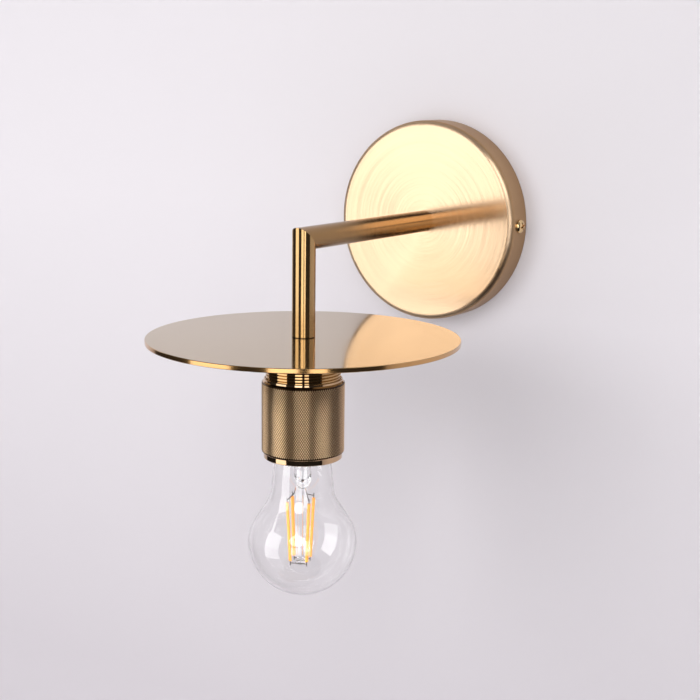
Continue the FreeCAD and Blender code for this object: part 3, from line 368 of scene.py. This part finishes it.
class Shader:
    """A material with one Principled shader and short calls to add nodes to it."""

    def __init__(self, name, color, rough, metallic=0.0, **sockets):
        self.material = bpy.data.materials.new(name)
        self.material.use_nodes = True
        self.tree = self.material.node_tree
        self.main = self.tree.nodes["Principled BSDF"]
        self.output = self.tree.nodes["Material Output"]
        self.color = color
        self.rough = rough
        self.main.inputs["Base Color"].default_value = (*color, 1)
        self.main.inputs["Roughness"].default_value = rough
        self.main.inputs["Metallic"].default_value = metallic
        for key, value in sockets.items():
            self.main.inputs[key.replace("_", " ")].default_value = value
        self.place = self.add("ShaderNodeTexCoord").outputs["Object"]

    def add(self, kind, links=None, **settings):
        """Adds a node with its settings, and links or sets its inputs."""
        node = self.tree.nodes.new(kind)
        for key, value in settings.items():
            setattr(node, key, value)
        for socket, source in (links or {}).items():
            if hasattr(source, "is_output"):
                self.tree.links.new(source, node.inputs[socket])
            else:
                node.inputs[socket].default_value = source
        return node

    def math(self, operation, a, b=0.0):
        return self.add("ShaderNodeMath", {0: a, 1: b}, operation=operation).outputs[0]

    def noise(self, where, scale, detail=3.0, rough=0.5):
        links = {"Vector": where, "Scale": scale, "Detail": detail, "Roughness": rough}
        return self.add("ShaderNodeTexNoise", links).outputs["Fac"]

    def remap(self, value, low, high, from_low=NOISE_LOW, from_high=NOISE_HIGH):
        """Brings a value from one range to another, clamped at both ends."""
        links = {"Value": value, "From Min": from_low, "From Max": from_high,
                 "To Min": low, "To Max": high}
        return self.add("ShaderNodeMapRange", links).outputs["Result"]

    def tint(self, value, spread):
        """Varies the base colour by a share either way with a noise value."""
        mix = self.add("ShaderNodeMix", {"Factor": self.remap(value, 0.0, 1.0)}, data_type="RGBA")
        low = [c * (1 - spread) for c in self.color]
        high = [min(1, c * (1 + spread)) for c in self.color]
        self.mix_colors(mix, low, high)

    def mix_colors(self, mix, low, high):
        """Sets the two colours of a mix node and sends its result to the base colour."""
        a, b = [socket for socket in mix.inputs if socket.type == "RGBA"]
        a.default_value = (*low, 1)
        b.default_value = (*high, 1)
        self.use_color(mix)

    def multiply(self, share, shade):
        """Multiplies the base colour by another where share is 1."""
        source = self.main.inputs["Base Color"].links[0].from_socket
        mix = self.add("ShaderNodeMix", {"Factor": share}, data_type="RGBA", blend_type="MULTIPLY")
        a, b = [socket for socket in mix.inputs if socket.type == "RGBA"]
        self.tree.links.new(source, a)
        b.default_value = (*shade, 1)
        self.use_color(mix)

    def use_color(self, mix):
        """Sends a colour mix's result to the base colour."""
        result = [socket for socket in mix.outputs if socket.type == "RGBA"][0]
        self.tree.links.new(result, self.main.inputs["Base Color"])

    def settle(self, name, share, value):
        """Brings a socket's own pattern to one value where share is 1."""
        source = self.main.inputs[name].links[0].from_socket
        mix = self.add("ShaderNodeMix", {"Factor": share, "A": source, "B": value})
        self.tree.links.new(mix.outputs[0], self.main.inputs[name])

    def bump(self, height, distance, strength=1.0):
        links = {"Height": height, "Distance": distance, "Strength": strength}
        normal = self.add("ShaderNodeBump", links)
        self.tree.links.new(normal.outputs["Normal"], self.main.inputs["Normal"])

    def roughen(self, value, spread, from_low=NOISE_LOW, from_high=NOISE_HIGH):
        """Varies the roughness by a spread either way with a noise value."""
        low, high = max(0.0, self.rough - spread), self.rough + spread
        rough = self.remap(value, low, high, from_low, from_high)
        self.tree.links.new(rough, self.main.inputs["Roughness"])

    def polar(self, axis, centre):
        """Place along an axis, distance from it and angle round it."""
        local = self.add("ShaderNodeVectorMath", {0: self.place, 1: centre}, operation="SUBTRACT").outputs[0]
        split = self.add("ShaderNodeSeparateXYZ", {0: local})
        along = split.outputs["XYZ".index(axis)]
        side = [split.outputs[k] for k in range(3) if k != "XYZ".index(axis)]
        squares = [self.math("MULTIPLY", way, way) for way in side]
        radius = self.math("SQRT", self.math("ADD", *squares))
        return along, radius, self.math("ARCTAN2", *side)

    def blend_with(self, other, share):
        """Sends the surface a mix of the Principled shader and another, which is alone where share is 1."""
        mix = self.add("ShaderNodeMixShader", {0: share, 1: self.main.outputs[0], 2: other.outputs[0]})
        self.tree.links.new(mix.outputs[0], self.output.inputs["Surface"])

    def tangent(self, axis):
        """Turns the stretch of highlights round an axis."""
        radial = self.add("ShaderNodeTangent", direction_type="RADIAL", axis=axis)
        self.tree.links.new(radial.outputs[0], self.main.inputs["Tangent"])


def brushed(name, color, rough, axis, centre, fine=2600.0, depth=1e-7, tone=0.03, anisotropic=0.9, painted_edge_shading=None,
            satin=None, painted_contact_shade=None, **sockets):
    """Metal brushed in circles about an axis.

    painted_edge_shading is a (radius, colour) that multiplies its colour beyond a radius, as painted shade
    where it darkens and a painted highlight where it brightens, and satin a (radius, roughness) that dulls it
    beyond a radius;
    painted_contact_shade is a (low, high) that darkens it towards the lower of two heights, as painted shade.
    """
    s = Shader(name, color, rough, 1.0, Anisotropic=anisotropic, Anisotropic_Rotation=0.25, **sockets)
    along, radius, angle = s.polar(axis, centre)
    turned_place = {0: s.math("MULTIPLY", radius, fine), 1: s.math("MULTIPLY", along, fine),
                    2: s.math("MULTIPLY", angle, 0.5)}
    lines = s.noise(s.add("ShaderNodeCombineXYZ", turned_place).outputs[0], 1.0, 4.0, 0.6)
    patches = s.noise(s.place, 45.0, 2.0)
    blend = s.math("ADD", s.math("MULTIPLY", lines, 0.5), s.math("MULTIPLY", patches, 0.5))
    s.tint(blend, tone)
    s.roughen(lines, rough * 0.3)
    if painted_edge_shading:
        edge, shade = painted_edge_shading
        # Painted shade and highlight: beyond the radius the colour is multiplied, darker on the plate's edge
        # and brighter on the disc's edge.
        s.multiply(s.remap(radius, 0.0, 1.0, edge, edge + FADE), shade)
    if satin:
        edge, dull = satin
        s.settle("Roughness", s.remap(radius, 0.0, 1.0, edge, edge + FADE), dull)
    if painted_contact_shade:
        # Painted contact shade: the colour is darker towards the disc, where the tube stands on it.
        height = s.add("ShaderNodeSeparateXYZ", {0: s.place}).outputs["Z"]
        s.multiply(s.remap(height, 1.0, 0.0, *painted_contact_shade), (0.14, 0.12, 0.1))
    s.bump(lines, depth)
    s.tangent(axis)
    return s.material


def polished(name, color, rough, haze):
    """Bright metal with faint handling haze."""
    s = Shader(name, color, rough, 1.0)
    smears = s.noise(s.place, 160.0, 5.0, 0.65)
    s.tint(smears, 0.03)
    s.roughen(smears, haze / 2, 0.35, 0.75)
    s.bump(s.noise(s.place, 900.0, 2.0), 2e-6, 0.3)
    return s.material


def knurled(name, color, rough, groove_r, tip_r):
    """Polished metal whose knurled band is satin on its tips and dull in its grooves, where painted shade
    darkens it.
    """
    s = Shader(name, color, rough, 1.0)
    radius = s.polar("Z", LAMP_POINT)[1]
    grain = s.noise(s.place, 700.0, 4.0, 0.6)
    s.tint(grain, 0.06)
    s.roughen(grain, rough * 0.3)
    band = s.remap(radius, 0.0, 1.0, groove_r - 0.2 * MM, groove_r - 0.1 * MM)
    rise = tip_r - groove_r
    depth = s.remap(radius, 1.0, 0.0, groove_r + 0.2 * rise, groove_r + 0.6 * rise)
    # Painted shade: the grooves' colour is multiplied down to near black where they lie deep.
    s.multiply(s.math("MULTIPLY", band, depth), (0.06, 0.04, 0.03))
    s.settle("Roughness", band, 0.28)
    s.bump(grain, 1e-6, 0.3)
    return s.material


def moulded(name, color, rough, grain=2500.0, depth=8e-6, tone=0.05, **sockets):
    """Moulded plastic, enamel or ceramic with a fine skin."""
    s = Shader(name, color, rough, 0.0, **sockets)
    skin = s.noise(s.place, grain, 3.0)
    cloud = s.noise(s.place, 90.0, 3.0)
    s.tint(cloud, tone)
    s.roughen(cloud, rough * 0.25)
    s.bump(skin, depth)
    return s.material


def plated(name, color, rough, tone=0.08):
    """Plated or stamped metal with grain from the coil and dull patches."""
    s = Shader(name, color, rough, 1.0)
    spangle = s.noise(s.place, 220.0, 6.0, 0.7)
    s.tint(spangle, tone)
    s.roughen(spangle, rough * 0.4)
    s.bump(s.noise(s.place, 1800.0, 3.0), 5e-6)
    return s.material


def clear_glass(name, color, rough):
    """Glass that lets lamps light what is inside it."""
    s = Shader(name, color, rough, 0.0, Transmission_Weight=1.0, IOR=1.47)
    wave = s.noise(s.place, 38.0, 1.0)
    s.bump(wave, 6e-5, 0.25)
    s.roughen(s.noise(s.place, 300.0, 3.0), 0.004, 0.5, 0.8)
    path = s.add("ShaderNodeLightPath")
    clear = s.add("ShaderNodeBsdfTransparent", {"Color": (0.93, 0.94, 0.94, 1)})
    s.blend_with(clear, path.outputs["Is Shadow Ray"])
    return s.material


def phosphor(name):
    """Silicone strip full of phosphor, with a faint painted glow of its own."""
    s = Shader(name, (1.0, 0.42, 0.07), 0.45, 0.0, Subsurface_Weight=0.35, Subsurface_Scale=0.0008)
    s.main.inputs["Subsurface Radius"].default_value = (1.0, 0.5, 0.15)
    grains = s.noise(s.place, 2200.0, 4.0)
    s.tint(grains, 0.12)
    s.bump(s.noise(s.place, 900.0, 3.0), 3e-5, 0.6)
    s.roughen(grains, 0.1)
    # Painted glow: a faint emission that brightens the strip, though the bulb is off.
    s.main.inputs["Emission Color"].default_value = (1.0, 0.36, 0.05, 1)
    s.main.inputs["Emission Strength"].default_value = 0.35
    return s.material


def lead_wire(name):
    """Oxidised nickel wire that turns to bare copper beside the glass rod."""
    nickel, copper = (0.13, 0.11, 0.10), (0.55, 0.24, 0.13)
    s = Shader(name, nickel, 0.38, 0.9)
    radius = s.polar("Z", ROD_POINT)[1]
    grain = s.noise(s.place, 1500.0, 3.0)
    uneven = s.math("ADD", radius, s.math("MULTIPLY", grain, 0.6 * MM))
    beside = s.remap(uneven, 1.0, 0.0, 3.2 * MM, 3.6 * MM)
    mix = s.add("ShaderNodeMix", {"Factor": beside}, data_type="RGBA")
    s.mix_colors(mix, nickel, copper)
    s.roughen(grain, 0.1)
    s.bump(grain, 6e-6)
    return s.material


looks = {
    # The plate's darker edge colour is painted shade.
    "wall_plate_brass": brushed("plate_brushed_brass", (0.58, 0.41, 0.265), 0.2, "Y", ORIGIN, fine=1500.0,
                                depth=1.5e-7, tone=0.025, anisotropic=0.92,
                                painted_edge_shading=(PLATE_RIM_R, (0.8, 0.72, 0.6)), satin=(PLATE_FLAT_R, 0.3)),
    "arm_brass": brushed("arm_brushed_brass", (0.32, 0.195, 0.085), 0.17, "Y", ORIGIN),
    # The drop tube darkens towards the disc as painted contact shade.
    "drop_tube_brass": brushed("drop_tube_brushed_brass", (0.44, 0.28, 0.125), 0.15, "Z", LAMP_POINT,
                               depth=3e-8, anisotropic=0.97, painted_contact_shade=(DISC_TOP + 0.2 * MM, DISC_TOP + 0.7 * MM)),
    # The disc's brighter edge colour is a painted highlight.
    "disc_brass": brushed("disc_brushed_brass", (0.40, 0.295, 0.15), 0.11, "Z", LAMP_POINT, fine=2400.0,
                          depth=1.2e-7, anisotropic=0.7, painted_edge_shading=(DISC_EDGE_R, (1.45, 1.12, 0.85)),
                          satin=(DISC_EDGE_R, 0.17), Coat_Weight=0.26, Coat_Roughness=0.04, Coat_IOR=1.6),
    "thread_brass": polished("thread_polished_brass", (0.48, 0.31, 0.145), 0.05, haze=0.04),
    "knurl_brass": knurled("knurl_brass", (0.60, 0.41, 0.245), 0.06, KNURL_GROOVE_R, SLEEVE_R),
    "screw_brass": polished("screw_brass", (0.80, 0.58, 0.30), 0.16, haze=0.1),
    "earth_screw_brass": plated("earth_screw_brass", (0.78, 0.58, 0.28), 0.28),
    "terminal_brass": plated("terminal_brass", (0.80, 0.60, 0.30), 0.25),
    "tinned_brass": plated("tinned_brass", (0.72, 0.71, 0.68), 0.3),
    "contact_bronze": plated("contact_bronze", (0.80, 0.50, 0.30), 0.25),
    "zinc_steel": plated("zinc_plated_steel", (0.66, 0.67, 0.68), 0.32),
    "nipple_steel": plated("nipple_steel", (0.60, 0.61, 0.62), 0.35),
    "cap_metal": plated("cap_nickel", (0.74, 0.72, 0.69), 0.2, tone=0.05),
    "contact_solder": plated("contact_solder", (0.70, 0.69, 0.66), 0.3),
    "lead_metal": lead_wire("lead_metal"),
    "terminal_plastic": moulded("terminal_plastic", (0.80, 0.79, 0.75), 0.4),
    "earth_insulation": moulded("earth_insulation", (0.18, 0.42, 0.10), 0.45),
    "live_insulation": moulded("live_insulation", (0.20, 0.09, 0.05), 0.45),
    "neutral_insulation": moulded("neutral_insulation", (0.06, 0.14, 0.38), 0.45),
    "liner_fibre": moulded("liner_fibre", (0.52, 0.44, 0.33), 0.7, grain=1400.0, depth=3e-5, tone=0.12),
    "black_glass": moulded("black_vitrite", (0.02, 0.02, 0.025), 0.15, grain=800.0, depth=4e-6, tone=0.3),
    "driver_board": moulded("driver_board", (0.70, 0.68, 0.60), 0.4),
    "porcelain": moulded("porcelain", (0.86, 0.85, 0.82), 0.16, grain=700.0, depth=6e-6, tone=0.03,
                         Coat_Weight=0.5),
    "filament_phosphor": phosphor("filament_phosphor"),
    "bulb_glass": clear_glass("bulb_clear_glass", (1.0, 1.0, 1.0), 0.0),
    "stem_glass": clear_glass("stem_clear_glass", (0.97, 0.98, 0.98), 0.02),
}


# ---- Materials onto CAD nodes and pieces ---------------------------------------------------------
def dress(obj, material):
    """Gives a piece one material."""
    obj.data.materials.clear()
    obj.data.materials.append(material)


for obj in nodes.values():
    slots = [material.name.split(".")[0] for material in obj.data.materials]
    for i, slot in enumerate(slots):
        obj.data.materials[i] = looks[slot]

dress(make_barrel(), looks["thread_brass"])
dress(make_sleeve(), looks["knurl_brass"])
dress(make_cap(), looks["cap_metal"])
dress(make_shell(), looks["terminal_brass"])
dress(make_glass(), looks["bulb_glass"])


# ---- Room, light and camera ----------------------------------------------------------------------
WALL_SIZE = 4.0
WALL_GAP = 0.4 * MM
FLOOR_Z = -0.8
SHEET_SIDES = 64
RIGHT, UP, BACK = Vector((1, 0, 0)), Vector((0, 0, 1)), Vector((0, 1, 0))


def stage_plane(name, centre, across, up, low_color, high_color, hole):
    """Pale square sheet seen from its front only, with a round hole in its middle and painted light falloff
    across it.
    """
    bm = bmesh.new()
    inner, outer = [], []
    for i in range(SHEET_SIDES):
        a = 2 * math.pi * i / SHEET_SIDES
        way = across * math.cos(a) + up * math.sin(a)
        reach = WALL_SIZE / 2 / max(abs(math.cos(a)), abs(math.sin(a)))
        inner.append(bm.verts.new(centre + way * hole))
        outer.append(bm.verts.new(centre + way * reach))
    bridge(bm, outer, inner)
    obj = new_object(name, bm)
    # The photo's wall gets darker downwards and towards the right.
    s = Shader(name + "_paint", low_color, 0.9)
    split = s.add("ShaderNodeSeparateXYZ", {0: s.place})
    # Painted light falloff: the colour is darker downwards and towards +X.
    height = s.remap(split.outputs["Z"], 0.0, 1.0, -0.36, 0.0)
    ramp = s.add("ShaderNodeMix", {"Factor": height}, data_type="RGBA")
    s.mix_colors(ramp, low_color, high_color)
    s.multiply(s.remap(split.outputs["X"], 0.0, 1.0, -0.15, 0.45), (0.94, 0.94, 0.94))
    behind = s.add("ShaderNodeNewGeometry").outputs["Backfacing"]
    s.blend_with(s.add("ShaderNodeBsdfTransparent"), behind)
    obj.data.materials.append(s.material)
    return obj


def direction(azimuth, elevation):
    """Unit vector away from the object: azimuth 0 is straight out from the wall, growing towards +X."""
    a, e = math.radians(azimuth), math.radians(elevation)
    return Vector((math.sin(a) * math.cos(e), -math.cos(a) * math.cos(e), math.sin(e)))


def softbox(name, azimuth, elevation, distance, width, height, radiance, shape="RECTANGLE"):
    """Area light that faces the lamp, with its brightness as radiance whatever its size."""
    light = bpy.data.lights.new(name, "AREA")
    light.shape = shape
    light.size = width
    light.size_y = height
    light.energy = radiance * math.pi * width * height * (math.pi / 4 if shape == "ELLIPSE" else 1)
    obj = bpy.data.objects.new(name, light)
    way = direction(azimuth, elevation)
    obj.location = Vector((LAMP.x, LAMP.y, -0.1)) + way * distance
    obj.rotation_euler = (-way).to_track_quat("-Z", "Y").to_euler()
    bpy.context.scene.collection.objects.link(obj)
    return obj


def make_room():
    """Wall and floor. The wall's hole is behind the plate, and lets the back view see into it."""
    stage_plane("back_wall", BACK * WALL_GAP, RIGHT, UP, (0.73, 0.69, 0.73), (0.91, 0.875, 0.91),
                PLATE_R - 3.0 * MM)
    grey = (0.74, 0.72, 0.74)
    floor = stage_plane("floor", Vector((0, -WALL_SIZE / 2, FLOOR_Z)), RIGHT, BACK, grey, grey, 1 * MM)
    floor.visible_glossy = False


def make_lights():
    """Softboxes in pairs: one lights the room, and a twin just in front shows in metal and glass."""
    nearer = 0.98
    for name, azimuth, elevation, distance, width, height, room, shine, shape in (
            ("key_left", -32, 13.5, 1.5, 0.9, 0.96, 2.1, 2.7, "RECTANGLE"),
            ("key_low", -32, -16, 1.5, 0.9, 0.64, 0.9, 2.1, "RECTANGLE"),
            ("front_octabox", 23, 26, 1.7, 0.98, 0.98, 1.5, 4.6, "ELLIPSE"),
            ("front_right", 46, 12, 1.7, 0.38, 0.9, 1.3, 2.6, "RECTANGLE"),
            ("front_low", 22, -4, 1.75, 0.64, 0.68, 1.25, 2.8, "RECTANGLE"),
            ("front_low_right", 46, -4, 1.75, 0.38, 0.68, 0.9, 2.2, "RECTANGLE")):
        lamp = softbox(name, azimuth, elevation, distance, width, height, room, shape)
        lamp.visible_glossy = False
        lamp = softbox(name + "_shine", azimuth, elevation, distance * nearer, width * nearer,
                       height * nearer, shine, shape)
        lamp.visible_diffuse = False
    fill = softbox("fill", -5, 22, 2.6, 3.6, 3.2, 0.81)
    fill.visible_glossy = False
    fill.visible_transmission = False
    softbox("back_fill", 200, 25, 1.8, 1.4, 1.2, 2.2)


def make_world():
    """Room that brightens upwards in reflections, and looks evenly pale to the camera and through glass."""
    world = bpy.data.worlds.new("studio")
    bpy.context.scene.world = world
    world.use_nodes = True
    make, link = world.node_tree.nodes.new, world.node_tree.links.new
    split = make("ShaderNodeSeparateXYZ")
    link(make("ShaderNodeTexCoord").outputs["Generated"], split.inputs[0])
    room = make("ShaderNodeMapRange")
    for key, value in (("From Min", -0.3), ("From Max", 0.9), ("To Min", 0.02), ("To Max", 0.3)):
        room.inputs[key].default_value = value
    link(split.outputs["Z"], room.inputs["Value"])
    path = make("ShaderNodeLightPath")
    seen = make("ShaderNodeMath")
    seen.operation = "MAXIMUM"
    link(path.outputs["Is Camera Ray"], seen.inputs[0])
    link(path.outputs["Is Transmission Ray"], seen.inputs[1])
    level = make("ShaderNodeMix")
    link(seen.outputs[0], level.inputs["Factor"])
    link(room.outputs[0], level.inputs["A"])
    level.inputs["B"].default_value = 0.8
    background = world.node_tree.nodes["Background"]
    link(level.outputs[0], background.inputs["Strength"])
    background.inputs["Color"].default_value = (1.0, 0.97, 1.0, 1)


def make_camera():
    """The photo's own camera: its place, lens and slight roll are fitted to the object's outlines."""
    target = Vector((-0.0106, -0.080, -0.071))
    azimuth, elevation, tilt = 33.86, 10.99, 0.65
    distance = 0.8176
    camera = bpy.data.cameras.new("camera")
    camera.lens = 72.3
    camera.sensor_width = 36.0
    camera.clip_start = 0.01
    eye = bpy.data.objects.new("camera", camera)
    bpy.context.scene.collection.objects.link(eye)
    away = direction(azimuth, elevation)
    level_right = UP.cross(away).normalized()
    level_up = away.cross(level_right)
    roll = math.radians(tilt)
    right = level_right * math.cos(roll) + level_up * math.sin(roll)
    turn = Matrix((right, away.cross(right), away)).transposed().to_4x4()
    eye.matrix_world = Matrix.Translation(target + away * distance) @ turn
    bpy.context.scene.camera = eye


make_room()
make_lights()
make_world()
make_camera()
bpy.context.scene.view_settings.view_transform = "Standard"
